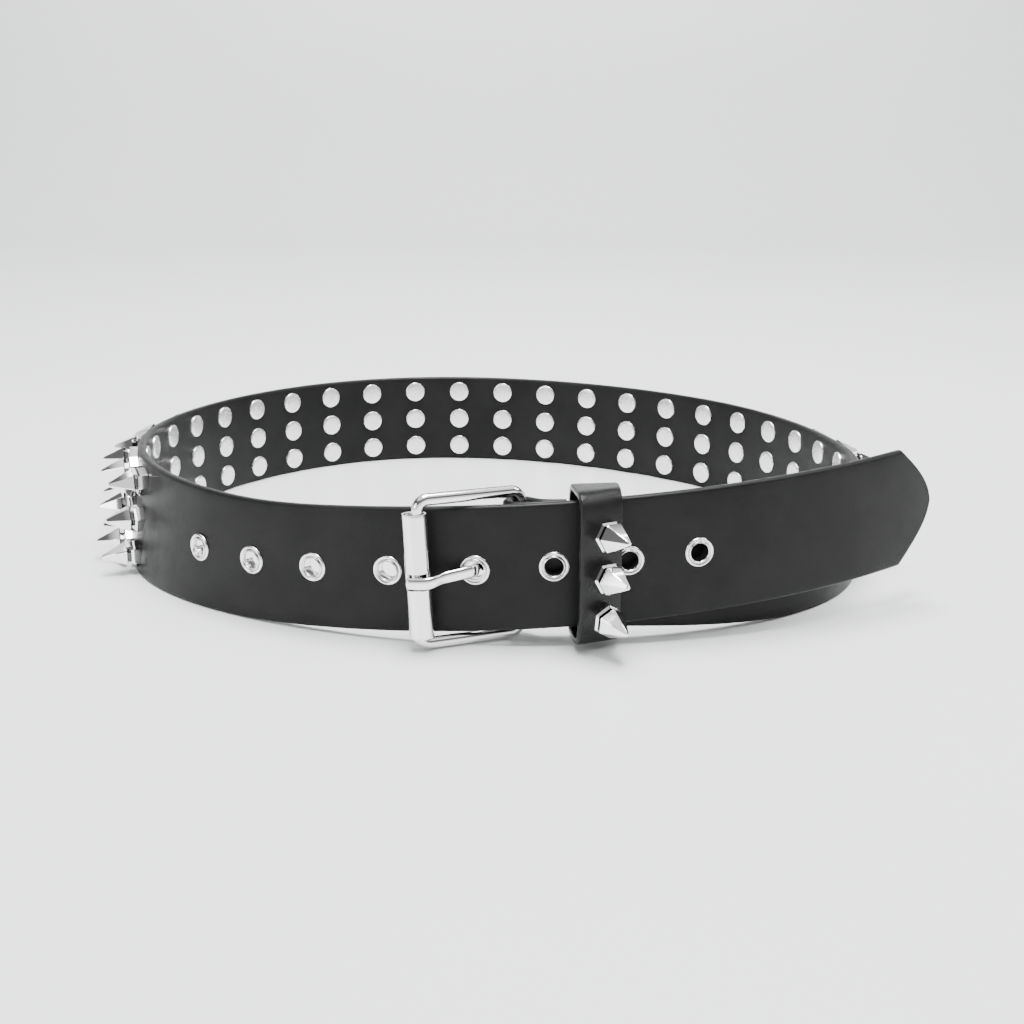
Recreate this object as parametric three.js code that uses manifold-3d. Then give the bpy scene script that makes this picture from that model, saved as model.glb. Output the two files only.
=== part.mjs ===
import * as THREE from "three";
import { mergeVertices } from "three/addons/utils/BufferGeometryUtils.js";
import Module from "manifold-3d";

// A studded belt, fastened and standing on the edge of its strap. All sizes are in millimetres.
// Places on the strap are measured from its tip, back along the strap to the buckle end.

// Strap
const strapWidth = 38;
const strapThickness = 3;
const loopLength = 806;
const tongueLength = 161;
const tongueLeavesAt = 22.5;
const tongueBend = 0.0043;
const tipLength = 14.5;
const tipRise = 14;
const layerStep = 4.5;
const layerStepStart = 290;
const layerStepEnd = 190;
const endRiseLength = 100;
const edgeRoundOff = 20;

// The loop's radius of curvature, as waves round its mean: shares of that mean radius
const loopWaves = [
  { turns: 2, cosShare: 0.044, sinShare: 0.188 },
  { turns: 3, cosShare: 0.239, sinShare: -0.073 },
  { turns: 4, cosShare: -0.003, sinShare: 0.038 },
];

// The tip's half width at each share of the tip's length, as a share of half the strap's width
const tipSections = [
  { along: 0.02, halfWidth: 0.12 },
  { along: 0.08, halfWidth: 0.24 },
  { along: 0.24, halfWidth: 0.42 },
  { along: 0.48, halfWidth: 0.64 },
  { along: 0.74, halfWidth: 0.84 },
  { along: 0.92, halfWidth: 0.96 },
];

// At the left end the strap's foot spreads outwards
const footSpread = 0.16;
const footSpreadAt = 288;
const footSpreadReach = 87;

// Studs: a hexagonal flange, a neck and a hexagonal spike outside, a round screw head inside
const studRows = 3;
const studRowStep = 12.5;
const studColumns = 25;
const studColumnStep = 20.6;
const firstStudAt = 296.9;
const closeColumns = 3;
const closeColumnStep = 18.97;
const flangeFlats = 8.4;
const flangeHeight = 2;
const neckRadius = 2.6;
const neckHeight = 2.3;
const spikeFlats = 7.4;
const spikeHeight = 12.6;
const screwHeadRadius = 4.3;
const screwHeadHeight = 0.9;
const screwHeadSides = 8;
const studRoot = 0.6;

// Eyelets
const eyeletBore = 5.4;
const eyeletWall = 0.5;
const eyeletFlange = 9;
const eyeletFlangeHeight = 0.6;
const eyeletSides = 10;
const eyeletBackGap = 0.6;
const firstEyeletAt = 89.6;
const eyeletGaps = [21.2, 21.8, 22.8, 26, 24.4, 22.6, 23.6];
const prongEyelet = 3;

// Buckle
const wireDiameter = 3.6;
const frameClearance = 0.85;
const frameCorner = 3.1;
const frameFloorGap = 0.1;
const heelAt = 142.6;
const rollerAt = 170.6;
const rollerStandOff = 7.5;
const rollerWidth = 7.3;
const rollerDepth = 5.8;
const rollerWall = 0.6;
const rollerLength = 37.2;
const rollerDrop = 0.85;
const rollerLean = THREE.MathUtils.degToRad(3);
const notchHeight = 5;
const strapOverBar = 0.36;
const prongWidth = 3.9;
const prongThickness = 2.6;
const prongTipShare = 0.9;
const prongOverhang = 2.6;
const prongDroop = 2.2;
const prongEyeStart = -195;
const prongEyeEnd = 80;
const prongSteps = 22;

// Fold round the heel bar
const foldReturn = 14.2;
const foldClose = 8;
const foldSlotHeight = 5;
const rivetBack = 10.4;
const rivetStep = 23;
const rivetRadius = 1.5;
const rivetHeadRadius = 3;
const rivetHeadHeight = 0.6;

// Keeper
const keeperBeforeHeel = 22.5;
const keeperWidth = 14;
const keeperThickness = 2;
const keeperStandOff = 5;
const keeperTopGap = 0.9;
const keeperBackGap = 2.6;
const keeperFootGap = 0.7;
const keeperYaw = THREE.MathUtils.degToRad(24);
const keeperTopSquareness = 4.4;
const keeperFootSquareness = 3.2;
const keeperBackSquareness = 6;
const keeperSpikeStep = 12.2;
const keeperSpikeShift = 1.4;
const keeperSpikeDrop = 1;

// Gap between pieces that touch on the real belt
const seatGap = 0.3;
const holeGap = 0.3;

const leather = new THREE.MeshStandardMaterial({ color: 0x1d1e1e, roughness: 0.5, metalness: 0 });
const nickel = new THREE.MeshStandardMaterial({ color: 0xd8d9d8, roughness: 0.18, metalness: 1 });

const wasm = await Module();
wasm.setup();

const up = new THREE.Vector3(0, 0, 1);
const halfStrap = strapWidth / 2;
const faceOut = strapThickness / 2;

const smoothStep = (share) => {
  const x = THREE.MathUtils.clamp(share, 0, 1);
  return x * x * (3 - 2 * x);
};

// Rises from 0 along a straight slope, with its start rounded over a length
const softRamp = (x, round) => {
  if (x <= -round) return 0;
  if (x >= round) return x;
  return (x + round) ** 2 / (4 * round);
};

// A line in plan that starts at a point with a heading and turns as bend(travelled, heading) says
function traceLine(start, length, bend) {
  const step = 0.5;
  const points = [{ ...start }];
  for (let done = 0; done < length; done += step) {
    const from = points[points.length - 1];
    const middle = from.heading + (bend(done, from.heading) * step) / 2;
    points.push({
      x: from.x + Math.cos(middle) * step,
      y: from.y + Math.sin(middle) * step,
      heading: from.heading + bend(done + step / 2, middle) * step,
    });
  }
  return (travelled) => {
    const place = Math.max(travelled / step, 0);
    const index = Math.min(Math.floor(place), points.length - 2);
    const from = points[index];
    const to = points[index + 1];
    return {
      x: THREE.MathUtils.lerp(from.x, to.x, place - index),
      y: THREE.MathUtils.lerp(from.y, to.y, place - index),
      heading: THREE.MathUtils.lerp(from.heading, to.heading, place - index),
    };
  };
}

// The loop runs left from the middle of the front and turns clockwise, seen from above
const meanRadius = loopLength / (2 * Math.PI);
const loopRadius = (turned) =>
  meanRadius *
  loopWaves.reduce(
    (sum, wave) =>
      sum + wave.cosShare * Math.cos(wave.turns * turned) + wave.sinShare * Math.sin(wave.turns * turned),
    1,
  );
const loopLine = traceLine(
  { x: 0, y: 0, heading: Math.PI },
  loopLength + tongueLength,
  (travelled, heading) => -1 / loopRadius(Math.PI - heading),
);

// The free end leaves the loop and straightens a little towards its tip
const leaving = loopLine(tongueLeavesAt);
const leavingBend = 1 / loopRadius(Math.PI - leaving.heading);
const tongueLine = traceLine(
  { ...leaving, heading: leaving.heading + Math.PI },
  tongueLength,
  (travelled) => THREE.MathUtils.lerp(leavingBend, tongueBend, travelled / tongueLength),
);

// Heights of the buckle and of the strap that runs through it
const frameHeight = strapWidth + 2 * frameClearance + wireDiameter;
const frameMiddle = frameFloorGap + (frameHeight + wireDiameter) / 2;
const barTop = frameFloorGap + wireDiameter;
const foldRadius = wireDiameter / 2 + seatGap + faceOut;
const heelDepth = layerStep + foldRadius;
const crossShare = (heelDepth + faceOut + wireDiameter / 2) / (heelDepth + faceOut + rollerStandOff);
const crossingAt = THREE.MathUtils.lerp(heelAt, rollerAt, crossShare);
const tongueSlope = (tipRise - barTop - strapOverBar) / crossingAt;
const touchDownAt = tipRise / tongueSlope;

const heelAlongLoop = heelAt - tongueLength + tongueLeavesAt;
const buckleEndAt = tongueLength - tongueLeavesAt + loopLength + heelAlongLoop;
const stepShare = (at) =>
  smoothStep((at - (buckleEndAt - layerStepStart)) / (layerStepStart - layerStepEnd));
const buckleEndRise = (at) => {
  const risen = (at - (buckleEndAt - endRiseLength)) / (endRiseLength - keeperWidth);
  return (frameMiddle - halfStrap) * smoothStep(risen);
};

// The slope is taken over a length of 1 mm
const slopeReach = 0.5;
const riseAt = (at) => tongueSlope * softRamp(touchDownAt - at, edgeRoundOff) + buckleEndRise(at);
const spreadAt = (at) => {
  const share = Math.abs(at - footSpreadAt) / footSpreadReach;
  return share < 1 ? footSpread * Math.cos((share * Math.PI) / 2) ** 2 : 0;
};

// The strap's frame at a distance from its tip: its middle, its way along, its face and its edge
function strapFrame(at) {
  const alongLoop = at - tongueLength + tongueLeavesAt;
  const free = at < tongueLength;
  const place = free ? tongueLine(tongueLength - at) : loopLine(alongLoop);
  const heading = free ? place.heading - Math.PI : place.heading;
  const out = new THREE.Vector3(-Math.sin(heading), Math.cos(heading), 0);
  const slope = Math.atan(riseAt(at + slopeReach) - riseAt(at - slopeReach));
  const along = new THREE.Vector3(Math.cos(heading), Math.sin(heading), 0)
    .multiplyScalar(Math.cos(slope))
    .addScaledVector(up, Math.sin(slope));
  const edge = new THREE.Vector3().crossVectors(out, along).normalize();
  if (edge.z < 0) edge.negate();
  const middle = new THREE.Vector3(place.x, place.y, riseAt(at) + halfStrap);
  middle.addScaledVector(out, -layerStep * stepShare(at));
  return { at, middle, along, out, edge, spread: spreadAt(at), half: halfStrap };
}

// A point on a strap frame: off the strap's middle outwards, and across it upwards
const strapPoint = (frame, off, across) =>
  frame.middle
    .clone()
    .addScaledVector(frame.out, off - frame.spread * across)
    .addScaledVector(frame.edge, across);

// The first columns stand closer together than the rest
const columnAt = (column) => {
  const close = Math.min(column, closeColumns);
  return firstStudAt + close * closeColumnStep + (column - close) * studColumnStep;
};

// Turns a geometry that is built along +Z, with +Y up, to face outwards from a strap frame
function seatOnStrap(geometry, frame, off, across) {
  const side = new THREE.Vector3().crossVectors(frame.edge, frame.out).normalize();
  const face = new THREE.Vector3().crossVectors(side, frame.edge).normalize();
  const place = new THREE.Matrix4().makeBasis(side, frame.edge, face);
  place.setPosition(strapPoint(frame, off, across));
  return geometry.applyMatrix4(place);
}

// A closed band from rings of points, every ring with as many points, joined end to start if closed
function bandGeometry(rings, closed) {
  const count = rings[0].length;
  const positions = rings.flat().flatMap((point) => [point.x, point.y, point.z]);
  const index = [];
  const last = closed ? rings.length : rings.length - 1;
  for (let ring = 0; ring < last; ring += 1) {
    const next = (ring + 1) % rings.length;
    for (let side = 0; side < count; side += 1) {
      const a = ring * count + side;
      const b = ring * count + ((side + 1) % count);
      const c = next * count + side;
      const d = next * count + ((side + 1) % count);
      index.push(a, b, d, a, d, c);
    }
  }
  if (!closed) {
    const end = (rings.length - 1) * count;
    for (let side = 1; side < count - 1; side += 1) {
      index.push(0, side + 1, side);
      index.push(end, end + side, end + side + 1);
    }
  }
  const geometry = new THREE.BufferGeometry();
  geometry.setAttribute("position", new THREE.Float32BufferAttribute(positions, 3));
  geometry.setIndex(index);
  return geometry;
}

// Turned form along +Z from its radii and heights, with its profile closed on the axis or on itself
function turned(profile, sides, startAngle = 0) {
  const points = profile.map(([radius, height]) => new THREE.Vector2(radius, height));
  return new THREE.LatheGeometry(points, sides, startAngle).rotateX(Math.PI / 2);
}

function solidOf(geometry) {
  const bare = geometry.clone();
  bare.deleteAttribute("normal");
  bare.deleteAttribute("uv");
  const merged = mergeVertices(bare, 1e-3);
  const solid = new wasm.Manifold(
    new wasm.Mesh({
      numProp: 3,
      vertProperties: merged.attributes.position.array,
      triVerts: new Uint32Array(merged.index.array),
    }),
  );
  if (solid.volume() >= 0) return solid;
  const turnedIndex = Uint32Array.from(merged.index.array);
  for (let i = 0; i < turnedIndex.length; i += 3) {
    [turnedIndex[i + 1], turnedIndex[i + 2]] = [turnedIndex[i + 2], turnedIndex[i + 1]];
  }
  return new wasm.Manifold(
    new wasm.Mesh({
      numProp: 3,
      vertProperties: merged.attributes.position.array,
      triVerts: turnedIndex,
    }),
  );
}

function geometryOf(solid) {
  const mesh = solid.getMesh();
  const geometry = new THREE.BufferGeometry();
  geometry.setAttribute("position", new THREE.BufferAttribute(new Float32Array(mesh.vertProperties), 3));
  geometry.setIndex(new THREE.BufferAttribute(new Uint32Array(mesh.triVerts), 1));
  geometry.computeVertexNormals();
  return geometry;
}

const belt = new THREE.Group();

function addPiece(name, solid, material) {
  const piece = new THREE.Mesh(geometryOf(solid), material);
  piece.name = name;
  belt.add(piece);
}

// The fold: the strap turns round the heel bar and comes back behind itself
const heelFrame = strapFrame(buckleEndAt);
const heelAxis = heelFrame.middle.clone().addScaledVector(heelFrame.out, -foldRadius);
const returnOffset = (back) =>
  THREE.MathUtils.lerp(2 * foldRadius, strapThickness + seatGap, smoothStep(back / foldClose));

function foldFrames() {
  const frames = [];
  const turns = 8;
  for (let i = 1; i < turns; i += 1) {
    const angle = (Math.PI * i) / turns;
    const out = heelFrame.out
      .clone()
      .multiplyScalar(Math.cos(angle))
      .addScaledVector(heelFrame.along, Math.sin(angle));
    frames.push({ ...heelFrame, out, middle: heelAxis.clone().addScaledVector(out, foldRadius) });
  }
  for (let i = 0; i <= 4; i += 1) {
    const back = (foldReturn * i) / 4;
    const front = strapFrame(buckleEndAt - back);
    const middle = front.middle.clone().addScaledVector(front.out, -returnOffset(back));
    frames.push({ ...front, middle, out: front.out.clone().negate() });
  }
  return frames;
}

function strapBody() {
  const frames = tipSections.map(({ along, halfWidth }) => ({
    ...strapFrame(along * tipLength),
    half: halfWidth * halfStrap,
  }));
  frames.push(strapFrame(tipLength));
  const spacing = studColumnStep / 2;
  const betweenStuds = columnAt(closeColumns) - spacing / 2;
  const before = Math.floor((betweenStuds - tipLength) / spacing - 0.5);
  for (let at = betweenStuds - before * spacing; at < buckleEndAt - spacing / 2; at += spacing) {
    frames.push(strapFrame(at));
  }
  frames.push(heelFrame, ...foldFrames());
  const rings = frames.map((frame) => [
    strapPoint(frame, faceOut, -frame.half),
    strapPoint(frame, faceOut, frame.half),
    strapPoint(frame, -faceOut, frame.half),
    strapPoint(frame, -faceOut, -frame.half),
  ]);
  return solidOf(bandGeometry(rings, false));
}

// Radius at the corners of a hexagon, from its size across flats
const hexRadius = (flats) => flats / 2 / Math.cos(Math.PI / 6);

function spikeGeometry(root, startAngle) {
  const flange = hexRadius(flangeFlats);
  const spike = hexRadius(spikeFlats);
  const spikeFoot = flangeHeight + neckHeight;
  return turned(
    [
      [0, -root],
      [flange, -root],
      [flange, flangeHeight],
      [neckRadius, flangeHeight],
      [neckRadius, spikeFoot],
      [spike, spikeFoot],
      [0, spikeHeight],
    ],
    6,
    startAngle,
  );
}

function screwHeadGeometry() {
  return turned(
    [
      [0, -screwHeadHeight],
      [screwHeadRadius, -screwHeadHeight],
      [screwHeadRadius, studRoot],
      [0, studRoot],
    ],
    screwHeadSides,
  );
}

const rowOffset = (row, rows, step) => (row - (rows - 1) / 2) * step;

function studField() {
  const studs = [];
  for (let column = 0; column < studColumns; column += 1) {
    const frame = strapFrame(columnAt(column));
    for (let row = 0; row < studRows; row += 1) {
      const across = rowOffset(row, studRows, studRowStep);
      studs.push(solidOf(seatOnStrap(spikeGeometry(studRoot, 0), frame, faceOut, across)));
      studs.push(solidOf(seatOnStrap(screwHeadGeometry(), frame, -faceOut, across)));
    }
  }
  return studs;
}

// Eyelets stand at the middle of the strap
const eyeletPlaces = eyeletGaps.reduce(
  (places, gap) => [...places, places[places.length - 1] + gap],
  [firstEyeletAt],
);
const barrelRadius = eyeletBore / 2 + eyeletWall;
const punchRadius = barrelRadius + holeGap;
const flangeOff = faceOut + seatGap;
const backOff = faceOut + eyeletBackGap;

function eyeletSolid(at) {
  const outer = eyeletFlange / 2;
  const geometry = turned(
    [
      [eyeletBore / 2, -backOff - eyeletWall],
      [outer - eyeletWall, -backOff],
      [barrelRadius, -backOff],
      [barrelRadius, flangeOff],
      [outer, flangeOff],
      [barrelRadius, flangeOff + eyeletFlangeHeight],
      [eyeletBore / 2, flangeOff],
      [eyeletBore / 2, -backOff - eyeletWall],
    ],
    eyeletSides,
  );
  return solidOf(seatOnStrap(geometry, strapFrame(at), 0, 0));
}

function punchSolid(at, radius, off, depth, across) {
  const punch = new THREE.CylinderGeometry(radius, radius, depth, eyeletSides).rotateX(Math.PI / 2);
  return solidOf(seatOnStrap(punch, strapFrame(at), off, across));
}

function rivetSolid(across) {
  const frame = strapFrame(buckleEndAt - rivetBack);
  const front = faceOut + seatGap;
  const back = front + strapThickness + seatGap;
  const geometry = turned(
    [
      [0, -back - rivetHeadHeight],
      [rivetHeadRadius, -back - rivetHeadHeight],
      [rivetHeadRadius, -back],
      [rivetRadius, -back],
      [rivetRadius, front],
      [rivetHeadRadius, front],
      [rivetHeadRadius, front + rivetHeadHeight],
      [0, front + rivetHeadHeight],
    ],
    screwHeadSides,
  );
  return solidOf(seatOnStrap(geometry, frame, 0, across));
}

const rivetAcross = [0, 1].map((row) => rowOffset(row, 2, rivetStep));

// The strap with its spikes and screw heads fused on, punched for the eyelets, rivets and prong
function studdedStrap() {
  const punches = eyeletPlaces.map((at) => punchSolid(at, punchRadius, 0, layerStep, 0));
  const foldDepth = 2 * strapThickness + seatGap + 2 * holeGap;
  rivetAcross.forEach((across) => {
    const off = -(strapThickness + seatGap) / 2;
    punches.push(punchSolid(buckleEndAt - rivetBack, rivetRadius + holeGap, off, foldDepth, across));
  });
  const slotReach = foldRadius + strapThickness;
  const slotDepth = heelDepth - faceOut - (layerStep - strapThickness) / 2;
  const slot = new THREE.BoxGeometry(2 * slotReach, foldSlotHeight, slotReach + slotDepth);
  slot.translate(0, 0, (slotDepth - slotReach) / 2);
  const axisFrame = { ...heelFrame, middle: heelAxis, spread: 0 };
  punches.push(solidOf(seatOnStrap(slot, axisFrame, 0, 0)));
  const whole = wasm.Manifold.union([strapBody(), ...studField()]);
  return whole.subtract(wasm.Manifold.union(punches));
}

// A rod along a path of frames, each with its middle, two cross directions and half sizes
function rodSolid(frames, sides, closed) {
  const rings = frames.map(({ middle, first, second, halfFirst, halfSecond }) =>
    Array.from({ length: sides }, (unused, side) => {
      const angle = (2 * Math.PI * (side + 0.5)) / sides;
      return middle
        .clone()
        .addScaledVector(first, halfFirst * Math.cos(angle))
        .addScaledVector(second, halfSecond * Math.sin(angle));
    }),
  );
  return solidOf(bandGeometry(rings, closed));
}

// The buckle's frame stands upright between the heel axis and the roller's axis
const rollerFrame = strapFrame(rollerAt);
const heelPoint = new THREE.Vector3(heelAxis.x, heelAxis.y, frameMiddle);
const rollerPoint = strapPoint(rollerFrame, rollerStandOff, 0).setZ(frameMiddle);
const frameReach = rollerPoint.clone().sub(heelPoint);
const frameSide = frameReach.clone().normalize();
const frameFace = new THREE.Vector3().crossVectors(frameSide, up).normalize();

function buckleFrame() {
  const corners = [
    { side: 1, high: 1 },
    { side: -1, high: 1 },
    { side: -1, high: -1 },
    { side: 1, high: -1 },
  ];
  const centre = heelPoint.clone().add(rollerPoint).multiplyScalar(0.5);
  const halfReach = frameReach.length() / 2 - frameCorner;
  const halfHigh = frameHeight / 2 - frameCorner;
  const frames = corners.flatMap(({ side, high }, corner) =>
    [0, 1, 2, 3].map((step) => {
      const angle = (Math.PI / 2) * (corner + step / 3);
      const radial = frameSide
        .clone()
        .multiplyScalar(Math.cos(angle))
        .addScaledVector(up, Math.sin(angle));
      const middle = centre
        .clone()
        .addScaledVector(frameSide, side * halfReach)
        .addScaledVector(up, high * halfHigh)
        .addScaledVector(radial, frameCorner);
      const half = wireDiameter / 2;
      return { middle, first: radial, second: frameFace, halfFirst: half, halfSecond: half };
    }),
  );
  return rodSolid(frames, 8, true);
}

const rollerMiddle = rollerPoint.clone().setZ(frameMiddle - rollerDrop);
const notchMiddle = frameMiddle - prongDroop;

// The roller is an oval sleeve of sheet, open at its ends and notched in the middle for the prong
function rollerSolid() {
  const oval = (width, depth) => {
    const shape = new THREE.Shape();
    shape.absellipse(0, 0, width / 2, depth / 2, 0, 2 * Math.PI);
    return shape;
  };
  const outline = oval(rollerWidth, rollerDepth);
  outline.holes.push(oval(rollerWidth - 2 * rollerWall, rollerDepth - 2 * rollerWall));
  const sleeve = new THREE.ExtrudeGeometry(outline, {
    depth: rollerLength,
    bevelEnabled: false,
    curveSegments: 8,
  });
  sleeve.translate(0, 0, -rollerLength / 2);
  const face = new THREE.Vector3().crossVectors(rollerFrame.along, up).normalize();
  const axis = up.clone().applyAxisAngle(face, -rollerLean);
  const turn = new THREE.Matrix4().makeBasis(axis.clone().cross(face), face, axis);
  sleeve.applyMatrix4(turn.setPosition(rollerMiddle));
  const notch = new THREE.BoxGeometry(2 * rollerWidth, rollerDepth, notchHeight);
  notch.translate(0, (rollerDepth / 2) * Math.sign(face.dot(rollerFrame.out)), 0);
  notch.applyMatrix4(turn.clone().setPosition(rollerPoint.x, rollerPoint.y, notchMiddle));
  return solidOf(sleeve).subtract(solidOf(notch));
}

// The prong: an eye round the heel bar, a cranked shank up through its eyelet, and a tip on the roller
function prongSolid() {
  const prongHole = eyeletPlaces[prongEyelet];
  const eyeRadius = wireDiameter / 2 + seatGap + prongThickness / 2;
  const reach = rollerAt - heelAt;
  const holeReach = prongHole - heelAt;
  const tipOff = rollerStandOff + wireDiameter / 2 + seatGap + (prongThickness * prongTipShare) / 2;
  // Places along the strap from the heel bar, and out from the strap's middle
  const shank = [
    { reach: 0.36 * holeReach, off: -heelDepth + eyeRadius },
    { reach: 0.82 * holeReach, off: -heelDepth + 1.05 * eyeRadius },
    { reach: 0.97 * holeReach, off: -faceOut - eyeletWall },
    { reach: 1.01 * holeReach, off: faceOut + eyeletWall },
    { reach: 1.24 * holeReach, off: 0.42 * tipOff },
    { reach: 1.6 * holeReach, off: 0.6 * tipOff },
    { reach: reach - rollerWidth / 2, off: 0.97 * tipOff },
    { reach: reach, off: tipOff },
    { reach: reach + prongOverhang, off: tipOff },
  ];
  // The shank runs level to its eyelet and from there down to the notch
  const onStrap = ({ reach: along, off }) => {
    const fromHole = smoothStep((along - holeReach) / (reach - holeReach));
    const point = strapPoint(strapFrame(heelAt + along), off, 0);
    return point.setZ(THREE.MathUtils.lerp(frameMiddle, notchMiddle, fromHole));
  };
  const eye = [];
  const eyeTurns = 8;
  for (let i = 0; i <= eyeTurns; i += 1) {
    const angle = THREE.MathUtils.degToRad(THREE.MathUtils.lerp(prongEyeStart, prongEyeEnd, i / eyeTurns));
    eye.push(
      heelPoint
        .clone()
        .addScaledVector(heelFrame.along, -eyeRadius * Math.cos(angle))
        .addScaledVector(heelFrame.out, eyeRadius * Math.sin(angle)),
    );
  }
  const route = new THREE.CatmullRomCurve3([...eye, ...shank.map(onStrap)], false, "centripetal");
  const frames = [];
  for (let i = 0; i <= prongSteps; i += 1) {
    const share = i / prongSteps;
    const tangent = route.getTangent(share);
    const taper = THREE.MathUtils.lerp(1, prongTipShare, smoothStep((share - 0.6) / 0.4));
    frames.push({
      middle: route.getPoint(share),
      first: new THREE.Vector3().crossVectors(tangent, up).normalize(),
      second: up,
      halfFirst: (prongThickness / 2) * taper,
      halfSecond: (prongWidth / 2) * taper,
    });
  }
  return rodSolid(frames, 6, false);
}

// The keeper: a band of leather round both layers, with its front turned and bowed out
const keeperAt = heelAt - keeperBeforeHeel;
const keeperFrame = strapFrame(keeperAt);
const keeperBackAt = buckleEndAt - keeperBeforeHeel;
const stackTop = riseAt(keeperAt - keeperWidth / 2) + strapWidth;
const stackFoot = riseAt(keeperBackAt - keeperWidth / 2);
const keeperInnerHigh = stackTop + keeperTopGap - stackFoot + keeperFootGap;
const keeperInnerDeep = keeperStandOff + strapThickness + layerStep + keeperBackGap;
const keeperMiddle = {
  off: faceOut + keeperStandOff - keeperInnerDeep / 2,
  z: stackFoot - keeperFootGap + keeperInnerHigh / 2,
};

// How square the keeper's section is: most at the back, least at the front's foot
const keeperSquareness = (angle) => {
  if (Math.cos(angle) < 0) return keeperBackSquareness;
  return Math.sin(angle) > 0 ? keeperTopSquareness : keeperFootSquareness;
};

// A place on the keeper's middle surface, at an angle round it from straight out
function keeperPlace(angle) {
  const halfDeep = (keeperInnerDeep + keeperThickness) / 2;
  const halfHigh = (keeperInnerHigh + keeperThickness) / 2;
  const squareness = keeperSquareness(angle);
  const power = (value) => Math.sign(value) * Math.abs(value) ** (2 / squareness);
  const off = halfDeep * power(Math.cos(angle));
  const high = halfHigh * power(Math.sin(angle));
  const yaw = keeperYaw * smoothStep(0.5 + off / halfDeep / 2);
  const width = keeperFrame.along.clone().setZ(0).normalize().applyAxisAngle(up, yaw);
  const face = keeperFrame.out.clone().applyAxisAngle(up, yaw);
  const slopeOff = (Math.abs(off / halfDeep) ** (squareness - 1) * Math.sign(off)) / halfDeep;
  const slopeHigh = (Math.abs(high / halfHigh) ** (squareness - 1) * Math.sign(high)) / halfHigh;
  const normal = face.multiplyScalar(slopeOff).addScaledVector(up, slopeHigh).normalize();
  const middle = keeperFrame.middle
    .clone()
    .setZ(keeperMiddle.z + high)
    .addScaledVector(keeperFrame.out, keeperMiddle.off + off);
  return { middle, width, normal };
}

// Angle round the keeper's front wall where it stands at a height over its middle
function keeperAngle(high) {
  const halfHigh = (keeperInnerHigh + keeperThickness) / 2;
  return Math.asin(Math.sign(high) * Math.abs(high / halfHigh) ** (keeperSquareness(high) / 2));
}

function keeperSolid() {
  const stations = 26;
  const rings = Array.from({ length: stations }, (unused, station) => {
    const { middle, width, normal } = keeperPlace((2 * Math.PI * station) / stations);
    const corner = (across, off) =>
      middle
        .clone()
        .addScaledVector(width, (across * keeperWidth) / 2)
        .addScaledVector(normal, (off * keeperThickness) / 2);
    return [corner(-1, -1), corner(-1, 1), corner(1, 1), corner(1, -1)];
  });
  return solidOf(bandGeometry(rings, true));
}

function keeperSpikeSolid(row) {
  const high = rowOffset(row, studRows, keeperSpikeStep) - keeperSpikeDrop;
  const { middle, width, normal } = keeperPlace(keeperAngle(high));
  const edge = new THREE.Vector3().crossVectors(normal, width).normalize();
  const place = new THREE.Matrix4().makeBasis(width, edge, normal);
  middle.addScaledVector(normal, keeperThickness / 2 + seatGap).addScaledVector(width, -keeperSpikeShift);
  place.setPosition(middle);
  const startAngle = row === 0 ? 0 : Math.PI / 6;
  return solidOf(spikeGeometry(0, startAngle).applyMatrix4(place));
}

addPiece("studded_strap", studdedStrap(), leather);
addPiece("buckle_frame", buckleFrame(), nickel);
addPiece("roller", rollerSolid(), nickel);
addPiece("prong", prongSolid(), nickel);
addPiece("keeper", keeperSolid(), leather);
for (let row = 0; row < studRows; row += 1) {
  addPiece(`keeper_spike_${studRows - row}`, keeperSpikeSolid(row), nickel);
}
eyeletPlaces.forEach((at, index) => {
  addPiece(`eyelet_${index + 1}`, eyeletSolid(at), nickel);
});
rivetAcross.forEach((across, index) => {
  addPiece(`fold_rivet_${index + 1}`, rivetSolid(across), nickel);
});

// The origin is the middle of the belt's foot
const box = new THREE.Box3().setFromObject(belt);
const centre = box.getCenter(new THREE.Vector3());
belt.position.set(-centre.x, -centre.y, -box.min.z);

export default belt;
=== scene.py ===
import bmesh
import bpy
import numpy as np
from mathutils import Matrix, Vector


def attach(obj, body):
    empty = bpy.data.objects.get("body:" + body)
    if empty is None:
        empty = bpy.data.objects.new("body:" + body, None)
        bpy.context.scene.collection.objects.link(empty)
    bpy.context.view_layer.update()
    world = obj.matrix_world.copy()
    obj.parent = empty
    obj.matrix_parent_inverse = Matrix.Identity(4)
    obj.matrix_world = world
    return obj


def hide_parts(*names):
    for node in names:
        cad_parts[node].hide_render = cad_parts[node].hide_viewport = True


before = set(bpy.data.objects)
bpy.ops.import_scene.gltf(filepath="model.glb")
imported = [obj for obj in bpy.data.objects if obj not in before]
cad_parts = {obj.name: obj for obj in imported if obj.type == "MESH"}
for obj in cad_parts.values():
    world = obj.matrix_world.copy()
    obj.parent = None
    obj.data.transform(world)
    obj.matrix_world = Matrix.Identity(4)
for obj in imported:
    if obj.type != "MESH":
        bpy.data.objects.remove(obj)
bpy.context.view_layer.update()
print("frame loaded,", len(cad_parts), "nodes")

# Camera of the photograph: in front of the belt, a little above it and looking down
photoView = {
    "lens": 49.68,  # on a 36 mm sensor
    "place": (0.00843, -0.51735, 0.1451),
    "lookDown": 14.87,
    "roll": 0.208,
}


def makeCamera(view):
    camera = bpy.data.objects.new("photoCamera", bpy.data.cameras.new("photoCamera"))
    bpy.context.scene.collection.objects.link(camera)
    camera.data.lens = view["lens"]
    camera.data.sensor_width = 36
    camera.data.clip_start = 0.01
    tilt = Matrix.Rotation(np.radians(90 - view["lookDown"]), 4, "X")
    roll = Matrix.Rotation(np.radians(view["roll"]), 4, "Z")
    camera.matrix_world = Matrix.Translation(view["place"]) @ tilt @ roll
    bpy.context.scene.camera = camera


makeCamera(photoView)
print("camera placed")

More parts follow.
